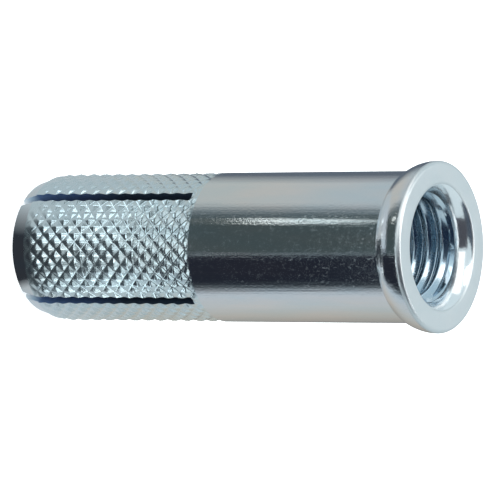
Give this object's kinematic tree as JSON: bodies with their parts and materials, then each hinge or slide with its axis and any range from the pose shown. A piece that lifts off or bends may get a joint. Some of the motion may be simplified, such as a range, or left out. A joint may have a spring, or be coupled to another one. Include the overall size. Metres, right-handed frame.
{
  "type": "drop in anchor",
  "caption": "Lipped drop-in anchor: knurled, slotted expansion sleeve with a tapped mouth and a tapered plug inside, set flush in a drilled hole to take a bolt.",
  "frame": {"origin": "centre of the nose end, which the anchor stands on", "axes": "+Z along the sleeve's axis, out of the tapped mouth; the four slots lie at 45 degrees to +X and +Y"},
  "size_m": [0.0182, 0.018, 0.05],
  "materials": {
    "zinc_plate": "bright zinc plate with a clear blue passivate",
    "plug_steel": "turned steel, lightly oiled"
  },
  "bodies": {
    "root": {"sleeve": "zinc_plate", "expander_plug": "plug_steel"}
  },
  "joints": []
}
